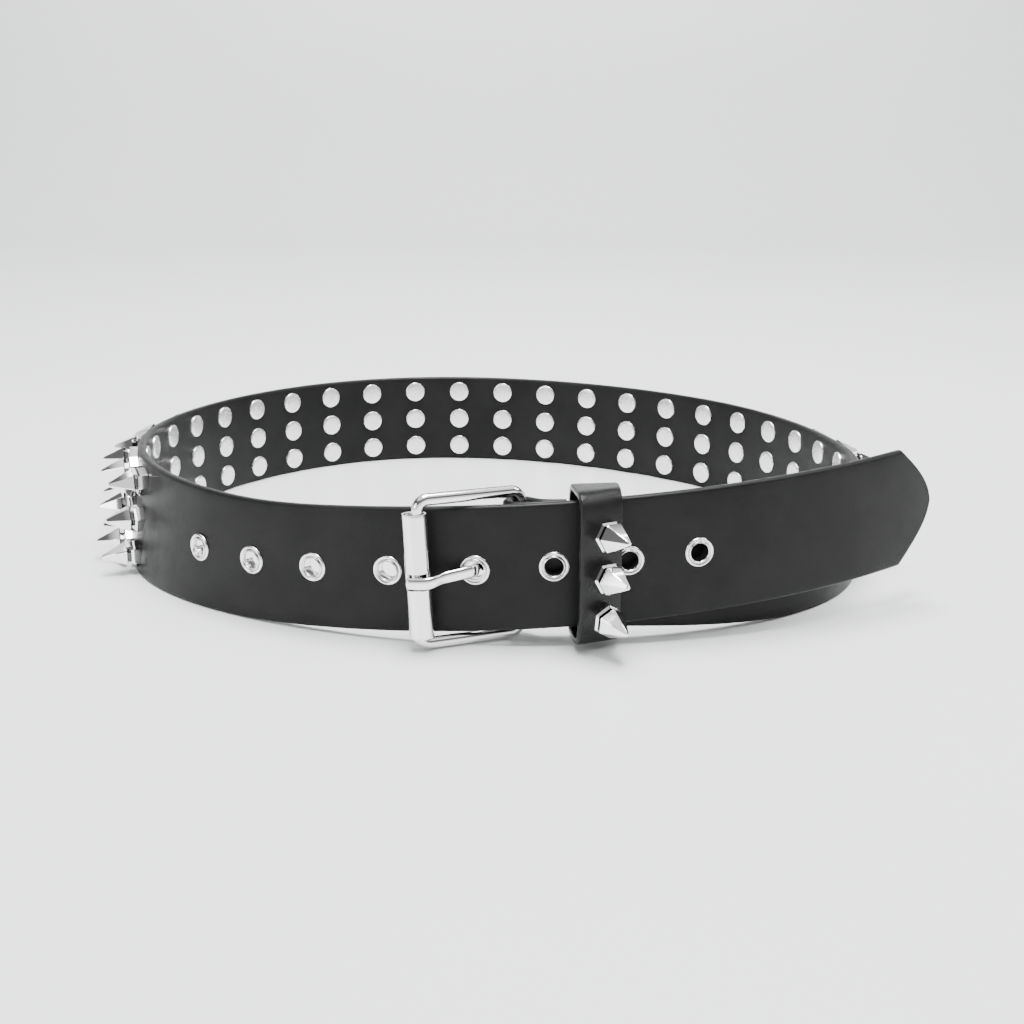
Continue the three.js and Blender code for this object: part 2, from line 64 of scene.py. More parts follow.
# All sizes below are in millimetres. Places on the strap run from its tip back to the buckle end.
strap = {
    "origin": (14.728, -124.454, 0.0),  # where the middle of the front lies
    "width": 38.0,
    "thickness": 3.0,
    "edgeRound": 1.15,
    "loopLength": 806.0,
    # turns, cosine share and sine share of each wave
    "loopWaves": ((2, 0.044, 0.188), (3, 0.239, -0.073), (4, -0.003, 0.038)),
    "tongueLength": 161.0,
    "tongueLeavesAt": 22.5,
    "tongueBend": 0.0043,  # turned radians to a millimetre at the tip
    "tipLength": 14.5,
    "tipPower": (0.54, 0.12),  # the outline's power at the point, and its growth to the full width
    "tipRise": 14.0,
    "layerStep": 4.5,
    "layerStepStart": 290.0,
    "layerStepEnd": 190.0,
    "endRiseLength": 100.0,
    "endLevel": 14.0,
    "settle": 20.0,
    "footSpread": 0.16,
    "footSpreadAt": 288.0,
    "footSpreadReach": 87.0,
    "foldReturn": 14.2,
    "foldClose": 8.0,
    "foldSlot": 6.6,
    "slotShare": 0.7,  # half the slot's height, as a share of half an eyelet's hole
    "stationStep": 2.4,
}

buckle = {
    "wire": 3.6,
    "clearance": 0.85,
    "corner": 3.1,
    "floorGap": 0.1,
    "heelAt": 142.6,
    "rollerAt": 170.6,
    "rollerStandOff": 7.5,
    "rollerWidth": 7.3,
    "rollerDepth": 5.8,
    "rollerWall": 0.6,
    "rollerLength": 37.2,
    "rollerDrop": 0.85,
    "rollerLean": 3.0,
    "notchHeight": 5.0,
    "strapOverBar": 0.36,
    "prongWidth": 3.9,
    "prongThickness": 2.6,
    "prongTipShare": 0.9,
    "prongOverhang": 2.6,
    "prongDroop": 2.2,
    "prongRounding": 0.9,
    "seatGap": 0.3,
}

eyelets = {
    "firstAt": 89.6,
    "gaps": (21.2, 21.8, 22.8, 26.0, 24.4, 22.6, 23.6),
    "bore": 5.4,
    "flange": 9.0,
    "hole": 7.0,
    "patch": 5.4,
    "prongEyelet": 3,
}

studs = {
    "rows": 3,
    "rowStep": 12.5,
    "columns": 25,
    "columnStep": 20.6,
    "firstAt": 296.9,
    "closeSteps": 3,
    "closeStep": 18.97,
}

halfStrap = strap["width"] / 2
faceOut = strap["thickness"] / 2
up = np.array([0.0, 0.0, 1.0])


def smoothStep(share):
    x = np.clip(share, 0, 1)
    return x * x * (3 - 2 * x)


def blend(a, b, share):
    return a + (b - a) * share


# 0 before, a straight slope after, and a parabola over the rounded start
def softRamp(x, reach):
    return np.where(x <= -reach, 0, np.where(x >= reach, x, (x + reach) ** 2 / (4 * reach)))


# Running sum by the trapezium rule
def runningSum(values, steps):
    return np.concatenate([[0.0], np.cumsum((values[1:] + values[:-1]) / 2 * np.diff(steps))])


# Loop: its radius of curvature is a mean with a few waves in the turned angle.
# Length and place are running sums, carried a little past the full turn for the buckle end.
pastFullTurn = 0.4
loopTurned = np.linspace(0, 2 * np.pi + pastFullTurn, 9001)
loopRadius = np.ones_like(loopTurned)
for turns, cosShare, sinShare in strap["loopWaves"]:
    loopRadius += cosShare * np.cos(turns * loopTurned) + sinShare * np.sin(turns * loopTurned)
loopRadius *= strap["loopLength"] / (2 * np.pi)
loopRun = runningSum(loopRadius, loopTurned)
loopX = runningSum(loopRadius * np.cos(np.pi - loopTurned), loopTurned)
loopY = runningSum(loopRadius * np.sin(np.pi - loopTurned), loopTurned)

# Tongue: it leaves the loop backwards, and its bend changes evenly along it
leaveTurned = np.interp(strap["tongueLeavesAt"], loopRun, loopTurned)
leaveBend = 1 / np.interp(leaveTurned, loopTurned, loopRadius)
tongueRun = np.linspace(0, strap["tongueLength"], 1201)
tongueHeading = -leaveTurned + runningSum(
    blend(leaveBend, strap["tongueBend"], tongueRun / strap["tongueLength"]), tongueRun
)
tongueX = np.interp(leaveTurned, loopTurned, loopX) + runningSum(np.cos(tongueHeading), tongueRun)
tongueY = np.interp(leaveTurned, loopTurned, loopY) + runningSum(np.sin(tongueHeading), tongueRun)

# Heights: the tongue slopes down over the frame's lower bar.
# The buckle end rises to the frame's middle.
frameHeight = strap["width"] + 2 * buckle["clearance"] + buckle["wire"]
frameMiddle = buckle["floorGap"] + (frameHeight + buckle["wire"]) / 2
foldRadius = buckle["wire"] / 2 + buckle["seatGap"] + faceOut
heelDepth = strap["layerStep"] + foldRadius
heelToFace = heelDepth + faceOut
crossShare = (heelToFace + buckle["wire"] / 2) / (heelToFace + buckle["rollerStandOff"])
crossingAt = blend(buckle["heelAt"], buckle["rollerAt"], crossShare)
barTop = buckle["floorGap"] + buckle["wire"]
tongueSlope = (strap["tipRise"] - barTop - buckle["strapOverBar"]) / crossingAt
touchDownAt = strap["tipRise"] / tongueSlope
heelAlongLoop = buckle["heelAt"] - strap["tongueLength"] + strap["tongueLeavesAt"]
buckleEndAt = strap["tongueLength"] - strap["tongueLeavesAt"] + strap["loopLength"] + heelAlongLoop


def riseAt(at):
    riseLength = strap["endRiseLength"] - strap["endLevel"]
    rising = at - (buckleEndAt - strap["endRiseLength"])
    endRise = (frameMiddle - halfStrap) * smoothStep(rising / riseLength)
    return tongueSlope * softRamp(touchDownAt - at, strap["settle"]) + endRise


def unit(vectors):
    return vectors / np.linalg.norm(vectors, axis=-1, keepdims=True)


# Frames along the strap: middle, outward face, way along and upper edge, for whole arrays of places
def strapFrames(at):
    at = np.asarray(at, float)
    alongLoop = at - strap["tongueLength"] + strap["tongueLeavesAt"]
    free = at < strap["tongueLength"]
    back = strap["tongueLength"] - at
    heading = np.where(free, np.interp(back, tongueRun, tongueHeading) - np.pi,
                       np.pi - np.interp(alongLoop, loopRun, loopTurned))
    x = np.where(free, np.interp(back, tongueRun, tongueX), np.interp(alongLoop, loopRun, loopX))
    y = np.where(free, np.interp(back, tongueRun, tongueY), np.interp(alongLoop, loopRun, loopY))
    level = np.zeros_like(at)
    out = np.stack([-np.sin(heading), np.cos(heading), level], -1)
    slope = np.arctan((riseAt(at + 1) - riseAt(at - 1)) / 2)
    ahead = np.stack([np.cos(heading), np.sin(heading), level], -1)
    along = ahead * np.cos(slope)[..., None] + up * np.sin(slope)[..., None]
    edge = unit(np.cross(along, out))
    stepped = at - (buckleEndAt - strap["layerStepStart"])
    stepLength = strap["layerStepStart"] - strap["layerStepEnd"]
    step = strap["layerStep"] * smoothStep(stepped / stepLength)
    middle = np.stack([x, y, riseAt(at) + halfStrap], -1) - out * step[..., None]
    share = np.abs(at - strap["footSpreadAt"]) / strap["footSpreadReach"]
    swell = np.cos(np.minimum(share, 1) * np.pi / 2) ** 2
    spread = np.where(share < 1, strap["footSpread"] * swell, 0)
    return {"middle": middle, "out": out, "along": along, "edge": edge, "spread": spread}


# Points off the strap's middle: outwards by off, upwards by across
def strapPoints(frames, off, across):
    outwards = (off - frames["spread"] * across)[..., None]
    return frames["middle"] + frames["out"] * outwards + frames["edge"] * np.asarray(across)[..., None]


# Past the buckle end the strap turns round the heel bar on a half circle and comes back behind itself
def foldedFrames(run):
    beyond = np.maximum(run - buckleEndAt, 0)
    turn = np.minimum(beyond / foldRadius, np.pi)
    back = np.maximum(beyond - np.pi * foldRadius, 0)
    frames = strapFrames(np.minimum(run, buckleEndAt - back))
    out, along, middle = frames["out"], frames["along"], frames["middle"]
    turned = out * np.cos(turn)[..., None] + along * np.sin(turn)[..., None]
    closed = strap["thickness"] + buckle["seatGap"]
    close = blend(2 * foldRadius, closed, smoothStep(back / strap["foldClose"]))
    onArc = middle + (turned - out) * foldRadius
    onReturn = middle - out * close[..., None]
    frames["middle"] = np.where((back > 0)[..., None], onReturn, onArc)
    frames["out"] = turned
    return frames


# Turns shapes built along +Z, with +Y up, to face outwards from the strap at an array of places
def seatOnStrap(shape, at, off, across):
    frames = strapFrames(at)
    side = unit(np.cross(frames["edge"], frames["out"]))
    face = np.cross(side, frames["edge"])
    foot = strapPoints(frames, np.asarray(off, float), np.asarray(across, float))
    axes = np.stack([side, frames["edge"], face], -2)
    return shape @ axes + foot[..., None, :]


# Quads between neighbouring points of a grid, wrapped round where it is closed
def gridFaces(rows, columns, closeRows=False, closeColumns=False):
    lastRow, lastColumn = rows - (not closeRows), columns - (not closeColumns)
    r, c = np.meshgrid(np.arange(lastRow), np.arange(lastColumn), indexing="ij")
    nextR, nextC = (r + 1) % rows, (c + 1) % columns
    corners = [r * columns + c, nextR * columns + c, nextR * columns + nextC, r * columns + nextC]
    return np.stack(corners, -1).reshape(-1, 4)


# A shell from two matching grids: their kept cells, and walls where a kept cell meets a dropped one
def shellFaces(keep, closeColumns=False):
    rows, cells = keep.shape
    columns = cells if closeColumns else cells + 1
    count = (rows + 1) * columns
    point = lambda r, c: r * columns + c % columns
    r, c = np.nonzero(keep)
    outer = np.stack([point(r, c), point(r + 1, c), point(r + 1, c + 1), point(r, c + 1)], -1)
    tall = np.pad(keep, ((1, 1), (0, 0)))
    r, c = np.nonzero(tall[1:] != tall[:-1])
    across = np.stack([point(r, c), point(r, c + 1), point(r, c + 1) + count, point(r, c) + count], -1)
    wide = np.concatenate([keep[:, -1:], keep], 1) if closeColumns else np.pad(keep, ((0, 0), (1, 1)))
    r, c = np.nonzero(wide[:, 1:] != wide[:, :-1])
    along = np.stack([point(r, c), point(r + 1, c), point(r + 1, c) + count, point(r, c) + count], -1)
    return np.concatenate([outer, outer + count, across, along])


# Turned form: each row of the profile starts with a radius, a height and how far it is a hexagon
def turnedPoints(profile, section):
    profile = np.asarray(profile, float)
    angle, hexagon = section
    radius = profile[:, :1] * blend(1, hexagon, profile[:, 2:3])
    height = np.repeat(profile[:, 1:2], len(angle), 1)
    return np.stack([radius * np.sin(angle), -radius * np.cos(angle), height], -1).reshape(-1, 3)


def roundSection(sides):
    angle = np.arange(sides) * 2 * np.pi / sides
    return angle, np.ones(sides)


hexPoints = 12


# A hexagon with a narrow flat at each corner: the flat sides stand at the same distance all round
def hexSection(cornerFlat=2.6, turn=0.0):
    corner = np.repeat(np.arange(6) * 60.0, 2)
    swing = np.tile([-cornerFlat, cornerFlat], 6)
    radius = np.cos(np.radians(30)) / np.cos(np.radians(30 - cornerFlat))
    return np.radians(corner + swing + turn), np.full(hexPoints, radius)


def makePiece(name, points, faces, material, nodes, sharpAngle=35, paint=None):
    mesh = bpy.data.meshes.new(name)
    placed = (points.reshape(-1, 3) + np.array(strap["origin"])) / 1000
    mesh.from_pydata(placed.tolist(), [], faces.tolist())
    if paint is not None:
        mesh.attributes.new("paint", "FLOAT", "POINT").data.foreach_set("value", paint.ravel())
    work = bmesh.new()
    work.from_mesh(mesh)
    bmesh.ops.remove_doubles(work, verts=work.verts, dist=2e-6)
    bmesh.ops.recalc_face_normals(work, faces=work.faces)
    work.to_mesh(mesh)
    work.free()
    mesh.shade_smooth()
    mesh.set_sharp_from_angle(angle=np.radians(sharpAngle))
    mesh.materials.append(material)
    piece = bpy.data.objects.new(name, mesh)
    bpy.context.scene.collection.objects.link(piece)
    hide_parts(*nodes)
    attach(piece, "root")
    print(name, len(mesh.polygons), "faces")


def newMaterial(name):
    material = bpy.data.materials.new(name)
    material.use_nodes = True
    tree = material.node_tree
    return material, tree, tree.nodes["Principled BSDF"]


def addNode(tree, kind, values=None, **settings):
    node = tree.nodes.new(kind)
    for key, value in settings.items():
        setattr(node, key, value)
    for socket, value in (values or {}).items():
        node.inputs[socket].default_value = value
    return node


def noiseNode(tree, scale, detail=3.0, stretch=(1, 1, 1)):
    place = addNode(tree, "ShaderNodeTexCoord")
    mapping = addNode(tree, "ShaderNodeMapping", {"Scale": stretch})
    noise = addNode(tree, "ShaderNodeTexNoise", {"Scale": scale, "Detail": detail})
    tree.links.new(place.outputs["Object"], mapping.inputs["Vector"])
    tree.links.new(mapping.outputs["Vector"], noise.inputs["Vector"])
    return noise


def rangeNode(tree, source, low, high, fromLow=0.3, fromHigh=0.7):
    values = {"From Min": fromLow, "From Max": fromHigh, "To Min": low, "To Max": high}
    mapped = addNode(tree, "ShaderNodeMapRange", values)
    tree.links.new(source, mapped.inputs["Value"])
    return mapped.outputs["Result"]


leatherLook = {
    "dark": (0.0065, 0.0067, 0.0066, 1),
    "light": (0.0105, 0.0107, 0.0105, 1),
    # cut edge coat, a little lighter than the face: partly the coat's own colour, partly a painted
    # sheen on the rounded edge
    "paint": (0.013, 0.0133, 0.013, 1),
    "roughness": (0.32, 0.42),
    "specular": 0.14,
    "grain": 1.0,
    "cloudScale": 60,
    "polishScale": 240,
    "grainScale": 2600.0,
    "poreScale": 1500.0,
    "grainHeight": 0.00004,
    "poreHeight": 0.00005,
    "grainShare": 0.55,
    "poreShare": 0.35,
}


# The points' own paint value brings in a second colour: on the leather, a cut edge coat drawn lighter,
# partly as painted sheen; on the metal, painted shade in a spike's neck gap and an eyelet's groove
def paintedTint(tree, source, paint):
    amount = addNode(tree, "ShaderNodeAttribute", attribute_name="paint")
    mixed = addNode(tree, "ShaderNodeMix", data_type="RGBA")
    mixed.inputs["B"].default_value = paint
    tree.links.new(amount.outputs["Fac"], mixed.inputs["Factor"])
    tree.links.new(source, mixed.inputs["A"])
    return mixed.outputs["Result"]


# Coated leather: cloudy black, a fine grain of noise and pores, a cut edge a little lighter as partly
# painted sheen, and a roughness that wanders a little
def coatedLeather(name, look):
    material, tree, shader = newMaterial(name)
    clouds = noiseNode(tree, look["cloudScale"], 4)
    tint = addNode(tree, "ShaderNodeValToRGB")
    tint.color_ramp.elements[0].position = 0.35
    tint.color_ramp.elements[0].color = look["dark"]
    tint.color_ramp.elements[1].position = 0.65
    tint.color_ramp.elements[1].color = look["light"]
    tree.links.new(clouds.outputs["Fac"], tint.inputs["Fac"])
    tinted = paintedTint(tree, tint.outputs["Color"], look["paint"])
    tree.links.new(tinted, shader.inputs["Base Color"])
    patchy = noiseNode(tree, look["polishScale"], 3).outputs["Fac"]
    tree.links.new(rangeNode(tree, patchy, *look["roughness"]), shader.inputs["Roughness"])
    grainNoise = noiseNode(tree, look["grainScale"], 2)
    grainValues = {"Strength": look["grainShare"] * look["grain"], "Distance": look["grainHeight"]}
    grainBump = addNode(tree, "ShaderNodeBump", grainValues)
    tree.links.new(grainNoise.outputs["Fac"], grainBump.inputs["Height"])
    place = addNode(tree, "ShaderNodeTexCoord")
    poreScale = {"Scale": look["poreScale"]}
    pores = addNode(tree, "ShaderNodeTexVoronoi", poreScale, feature="DISTANCE_TO_EDGE")
    tree.links.new(place.outputs["Object"], pores.inputs["Vector"])
    poreValues = {"Strength": look["poreShare"] * look["grain"], "Distance": look["poreHeight"]}
    poreBump = addNode(tree, "ShaderNodeBump", poreValues)
    tree.links.new(rangeNode(tree, pores.outputs["Distance"], 0, 1, 0, 0.2), poreBump.inputs["Height"])
    tree.links.new(grainBump.outputs["Normal"], poreBump.inputs["Normal"])
    tree.links.new(poreBump.outputs["Normal"], shader.inputs["Normal"])
    shader.inputs["Specular IOR Level"].default_value = look["specular"]
    return material


keeperLook = {**leatherLook, "specular": 0.22, "roughness": (0.19, 0.23), "grain": 1.5}

metalLook = {
    "spike": {"tint": (0.95, 0.95, 0.945, 1), "roughness": (0.05, 0.09), "metallic": 1.0},
    "screw": {"tint": (0.98, 0.98, 0.975, 1), "roughness": (0.22, 0.3), "metallic": 0.85},
    "buckle": {"tint": (0.94, 0.94, 0.93, 1), "roughness": (0.07, 0.13), "metallic": 1.0},
    "eyelet": {"tint": (0.94, 0.94, 0.93, 1), "roughness": (0.16, 0.24), "metallic": 1.0},
}
platingLook = {
    # painted shade, darkening a spike's neck gap and an eyelet's groove
    "gap": (0.12, 0.12, 0.12, 1),
    "patchShade": 0.93,
    "patchScale": 160,
    "polishScale": 420,
    "scratchScale": 900,
    "scratchStretch": (1, 1, 6),
    "scratchDepth": {"Strength": 0.06, "Distance": 0.00003},
}


# Plated nickel: metal with faint fine scratches and a patchy polish, darkened by painted shade where
# the points carry it
def platedNickel(name, look):
    material, tree, shader = newMaterial(name)
    shader.inputs["Metallic"].default_value = look["metallic"]
    patches = noiseNode(tree, platingLook["patchScale"], 4)
    shaded = [platingLook["patchShade"] * share for share in look["tint"][:3]]
    tint = addNode(tree, "ShaderNodeValToRGB")
    tint.color_ramp.elements[0].position = 0.3
    tint.color_ramp.elements[0].color = (*shaded, 1)
    tint.color_ramp.elements[1].position = 0.6
    tint.color_ramp.elements[1].color = look["tint"]
    tree.links.new(patches.outputs["Fac"], tint.inputs["Fac"])
    tinted = paintedTint(tree, tint.outputs["Color"], platingLook["gap"])
    tree.links.new(tinted, shader.inputs["Base Color"])
    patchy = noiseNode(tree, platingLook["polishScale"], 4).outputs["Fac"]
    tree.links.new(rangeNode(tree, patchy, *look["roughness"]), shader.inputs["Roughness"])
    scratches = noiseNode(tree, platingLook["scratchScale"], 3, platingLook["scratchStretch"])
    bump = addNode(tree, "ShaderNodeBump", platingLook["scratchDepth"])
    tree.links.new(scratches.outputs["Fac"], bump.inputs["Height"])
    tree.links.new(bump.outputs["Normal"], shader.inputs["Normal"])
    return material


strapLeather = coatedLeather("strapLeather", leatherLook)
keeperLeather = coatedLeather("keeperLeather", keeperLook)
spikeNickel = platedNickel("spikeNickel", metalLook["spike"])
screwNickel = platedNickel("screwNickel", metalLook["screw"])
buckleNickel = platedNickel("buckleNickel", metalLook["buckle"])
eyeletNickel = platedNickel("eyeletNickel", metalLook["eyelet"])
print("materials made")

keeper = {
    "beforeHeel": 22.5,
    "width": 14.0,
    "thickness": 2.0,
    "edgeRound": 0.75,
    "standOff": 5.0,
    "topGap": 0.9,
    "backGap": 2.6,
    "footGap": 0.7,
    "yaw": 24.0,
    "topSquareness": 4.4,
    "footSquareness": 3.2,
    "backSquareness": 6.0,
    "spikeStep": 12.2,
    "spikeShift": 0.6,
    "spikeDrop": 1.0,
    "spikeSeat": 0.05,
}

eyeletPlaces = eyelets["firstAt"] + np.concatenate([[0.0], np.cumsum(eyelets["gaps"])])


# Strap: two skins on one grid. Front rows bend over into the edge as a quarter round, and the back
# skin mirrors them. Round each eyelet the grid's squares are drawn in to circles, and the cells inside
# the innermost one are dropped.
def makeStrap():
    hole, patch = eyelets["hole"] / 2, eyelets["patch"]
    ringLine = (hole + patch) / 2
    holeLines = np.concatenate([np.linspace(-1, 1, 7) * hole, [-patch, -ringLine, ringLine, patch]])
    tipShares = np.array([0.006, 0.02, 0.05, 0.1, 0.16, 0.24, 0.32, 0.4, 0.5, 0.6, 0.7, 0.8, 0.9])
    tip = strap["tipLength"] * tipShares
    coarse = np.arange(strap["tipLength"], buckleEndAt - strap["foldSlot"] - 1, strap["stationStep"])
    clear = np.abs(coarse[:, None] - eyeletPlaces).min(1) > patch + strap["stationStep"] / 4
    nearHoles = (eyeletPlaces[:, None] + holeLines).ravel()
    halfTurn = np.pi * foldRadius
    fold = np.concatenate([[-strap["foldSlot"], -strap["foldSlot"] / 2], np.linspace(0, halfTurn, 25),
                           halfTurn + np.linspace(0.1, 1, 10) * strap["foldReturn"]])
    stations = np.sort(np.concatenate([tip, coarse[clear], nearHoles, buckleEndAt + fold]))

    rounding = strap["edgeRound"]
    outerRows = np.linspace(patch + 2, halfStrap - rounding, 6)
    flat = np.sort(np.concatenate([holeLines, outerRows, -outerRows]))
    bend = np.radians([18, 36, 54, 72, 90])
    bendAcross = flat[-1] + rounding * np.sin(bend)
    bendDrop = rounding * (1 - np.cos(bend))
    rowAcross = np.concatenate([-bendAcross[::-1], flat, bendAcross])
    rowDrop = np.concatenate([bendDrop[::-1], np.zeros(len(flat)), bendDrop])
    rowAcross = np.concatenate([rowAcross[:1], rowAcross, rowAcross[-1:]])
    rowDrop = np.concatenate([[faceOut], rowDrop, [faceOut]])

    at = np.repeat(stations[:, None], len(rowAcross), 1)
    across = np.repeat(rowAcross[None, :], len(stations), 0)
    share = np.clip(stations / strap["tipLength"], 0, 1)
    power, growth = strap["tipPower"]
    half = halfStrap * share ** (power + growth * share)
    flatHalf = halfStrap - rounding
    across = np.where(np.abs(across) <= flatHalf, across * ((half - rounding) / flatHalf)[:, None],
                      across - np.sign(across) * (halfStrap - half)[:, None])

    nearest = eyeletPlaces[np.abs(at[..., None] - eyeletPlaces).argmin(-1)]
    away = at - nearest
    square = np.maximum(np.abs(away), np.abs(across))
    pull = np.clip((patch - square) / (patch - hole), 0, 1)
    draw = blend(1, square / np.maximum(np.hypot(away, across), 1e-6), pull)
    at, across = nearest + away * draw, across * draw

    frames = foldedFrames(at)
    front = strapPoints(frames, faceOut - rowDrop[None, :], across)
    back = strapPoints(frames, rowDrop[None, :] - faceOut, across)

    middleAt = (stations[1:] + stations[:-1]) / 2
    middleRow = (rowAcross[1:] + rowAcross[:-1]) / 2
    inHoles = np.abs(middleAt[:, None] - eyeletPlaces).min(1) < hole
    inSlot = (middleAt > buckleEndAt - strap["foldSlot"]) & (
        middleAt < buckleEndAt + halfTurn + strap["foldSlot"])
    punched = inHoles[:, None] & (np.abs(middleRow) < hole)[None, :]
    slotRows = (np.abs(middleRow) < hole * strap["slotShare"])[None, :]
    slotted = inSlot[:, None] & slotRows
    points = np.concatenate([front.reshape(-1, 3), back.reshape(-1, 3)])
    # the cut edge's rows take the lighter edge coat, partly painted sheen
    edgeCoatAndSheen = np.tile(smoothStep(rowDrop / (0.8 * rounding)), 2 * len(stations))
    makePiece("strapLeather", points, shellFaces(~(punched | slotted)), strapLeather,
              ["studded_strap"], sharpAngle=50, paint=edgeCoatAndSheen)


makeStrap()

spike = {
    "flange": 8.4,
    "flangeHeight": 3.1,
    "flangeBevel": 0.6,
    "neck": 2.6,
    "neckHeight": 1.3,
    "across": 8.1,
    "height": 12.4,
    "shoulder": 1.3,
    "tip": 0.85,
    "rootInStrap": 0.4,
    "rootInKeeper": 0.3,
    "turnStep": 35,  # each spike stands this many degrees further round than the one before
}


# Stud outside: hexagonal flange with a bevelled face, round neck with painted shade, and a six-sided
# spike with a blunt tip. Each row is a radius, a height, the section's share of a hexagon, and how
# much painted shade it takes.
def spikeProfile(root):
    flange = spike["flange"] / 2 / np.cos(np.pi / 6)
    body = spike["across"] / 2 / np.cos(np.pi / 6)
    bevel = spike["flangeBevel"]
    foot = spike["flangeHeight"] + spike["neckHeight"]
    return np.array([
        (0, -root, 1, 0),
        (flange * 0.97, -root, 1, 0),
        (flange, 0.15, 1, 0),
        (flange, spike["flangeHeight"] - bevel, 1, 0),
        (flange - bevel, spike["flangeHeight"], 1, 0),
        # the last column puts painted shade on the flange's inner top, the neck and the body's
        # underside
        (spike["neck"] + 0.8, spike["flangeHeight"], 0, 0.3),
        (spike["neck"], spike["flangeHeight"] - 0.1, 0, 1),
        (spike["neck"], foot, 0, 1),
        (body * 0.9, foot, 1, 0.8),
        (body, foot + 0.3, 1, 0),
        (body * 0.9, foot + spike["shoulder"], 1, 0),
        (spike["tip"], spike["height"] - 0.35, 1, 0),
        (spike["tip"] * 0.55, spike["height"], 1, 0),
        (0, spike["height"], 1, 0),
    ])


column = np.arange(studs["columns"])
closeColumn = np.minimum(column, studs["closeSteps"])
studAt = studs["firstAt"] + closeColumn * studs["closeStep"]
studAt = studAt + (column - closeColumn) * studs["columnStep"]
studAcross = (np.arange(studs["rows"]) - (studs["rows"] - 1) / 2) * studs["rowStep"]
allAt = np.repeat(studAt, studs["rows"])
allAcross = np.tile(studAcross, studs["columns"])


def repeated(faces, pointCount, copies):
    return (faces[None] + (np.arange(copies) * pointCount)[:, None, None]).reshape(-1, 4)


def makeStuds():
    profile = spikeProfile(spike["rootInStrap"])
    shape = turnedPoints(profile, hexSection())
    faces = gridFaces(len(profile), hexPoints, closeColumns=True)
    turn = np.radians((np.arange(len(allAt)) * spike["turnStep"]) % 60)
    spin = np.stack([np.cos(turn), np.sin(turn), -np.sin(turn), np.cos(turn)], -1).reshape(-1, 2, 2)
    shapes = np.repeat(shape[None], len(allAt), 0)
    shapes[..., :2] = shapes[..., :2] @ spin
    points = seatOnStrap(shapes, allAt, faceOut, allAcross)
    # painted shade in the gap under each spike's body
    paintedNeckShade = np.tile(np.repeat(profile[:, 3], hexPoints), len(allAt))
    makePiece("studSpikes", points, repeated(faces, len(shape), len(allAt)), spikeNickel,
              ["studded_strap"], sharpAngle=20, paint=paintedNeckShade)


screw = {"radius": 4.3, "height": 0.9, "edge": 0.35, "dome": 0.1, "root": 0.4, "sides": 24}


# Screw head inside: a low dome with a rolled edge
def makeScrews():
    radius, height, edge = screw["radius"], screw["height"], screw["edge"]
    profile = [
        (0, -height - screw["dome"], 0),
        (radius * 0.45, -height - screw["dome"] * 0.8, 0),
        (radius * 0.75, -height - screw["dome"] * 0.3, 0),
        (radius - edge, -height + 0.02, 0),
        (radius - edge * 0.3, -height + edge * 0.3, 0),
        (radius, -height + edge, 0),
        (radius, screw["root"], 0),
        (0, screw["root"], 0),
    ]
    shape = turnedPoints(profile, roundSection(screw["sides"]))
    faces = gridFaces(len(profile), screw["sides"], closeColumns=True)
    points = seatOnStrap(shape, allAt, -faceOut, allAcross)
    makePiece("studScrews", points, repeated(faces, len(shape), len(allAt)), screwNickel,
              ["studded_strap"], sharpAngle=50)


makeStuds()
makeScrews()


# Eyelet: a rolled inner rim, a groove darkened with painted shade and a domed outer ring on a barrel,
# flatter behind
def makeEyelets():
    bore, flange = eyelets["bore"] / 2, eyelets["flange"] / 2
    front, back = faceOut, -faceOut
    profile = [
        (bore, back - 0.35, 0), (bore, front + 0.25, 0),
        (bore + 0.12, front + 0.6, 0), (bore + 0.38, front + 0.78, 0), (bore + 0.66, front + 0.62, 0),
        (bore + 0.8, front + 0.36, 0), (bore + 0.95, front + 0.42, 0), (flange - 0.62, front + 0.6, 0),
        (flange - 0.3, front + 0.5, 0), (flange - 0.06, front + 0.26, 0), (flange, front + 0.02, 0),
        (bore + 0.5, front - 0.02, 0), (bore + 0.5, back + 0.02, 0),
        (flange - 0.2, back - 0.02, 0), (flange - 0.3, back - 0.3, 0), (flange - 0.8, back - 0.55, 0),
        (bore + 0.5, back - 0.65, 0), (bore + 0.12, back - 0.55, 0),
    ]
    sides = 44
    shape = turnedPoints(profile, roundSection(sides))
    faces = gridFaces(len(profile), sides, closeRows=True, closeColumns=True)
    points = seatOnStrap(shape, eyeletPlaces, 0 * eyeletPlaces, 0 * eyeletPlaces)
    names = [f"eyelet_{i + 1}" for i in range(len(eyeletPlaces))]
    # painted shade darkens the groove row
    grooveRow, grooveShade = 5, 0.8
    paintedGrooveShade = np.zeros((len(eyeletPlaces), len(profile), sides))
    paintedGrooveShade[:, grooveRow] = grooveShade
    makePiece("eyeletRings", points, repeated(faces, len(shape), len(eyeletPlaces)), eyeletNickel,
              names, sharpAngle=60, paint=paintedGrooveShade)


makeEyelets()

rivet = {"back": 10.4, "step": 23.0, "shank": 1.5, "head": 3.0, "dome": 0.75}


